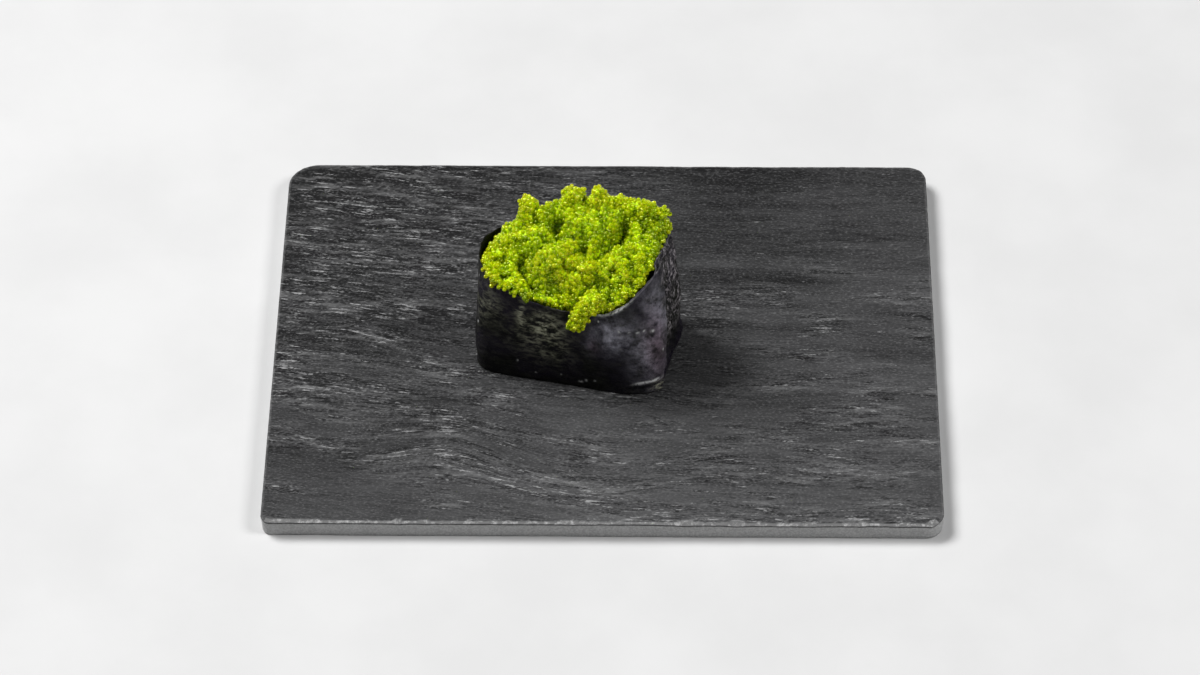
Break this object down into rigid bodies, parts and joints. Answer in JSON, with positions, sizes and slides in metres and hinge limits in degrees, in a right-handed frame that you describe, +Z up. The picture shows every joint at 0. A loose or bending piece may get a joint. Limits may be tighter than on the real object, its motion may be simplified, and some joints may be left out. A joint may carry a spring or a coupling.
{
  "type": "plate of tobiko",
  "caption": "Seaweed-wrapped roll heaped with bright green flying-fish roe, a tongue of it over the front rim, on a rectangular dark slate board.",
  "frame": {"origin": "middle of the slate board's flat underside", "axes": "+X along the board's long side to the right, +Y away from the diner, +Z up out of the board"},
  "size_m": [0.1599, 0.1198, 0.0482],
  "materials": {
    "slate": "matte",
    "seaweed": "satin",
    "roe": "gloss"
  },
  "bodies": {
    "root": {"slate_board": "slate", "seaweed_roll": "seaweed", "roe_heap": "roe"}
  },
  "joints": []
}
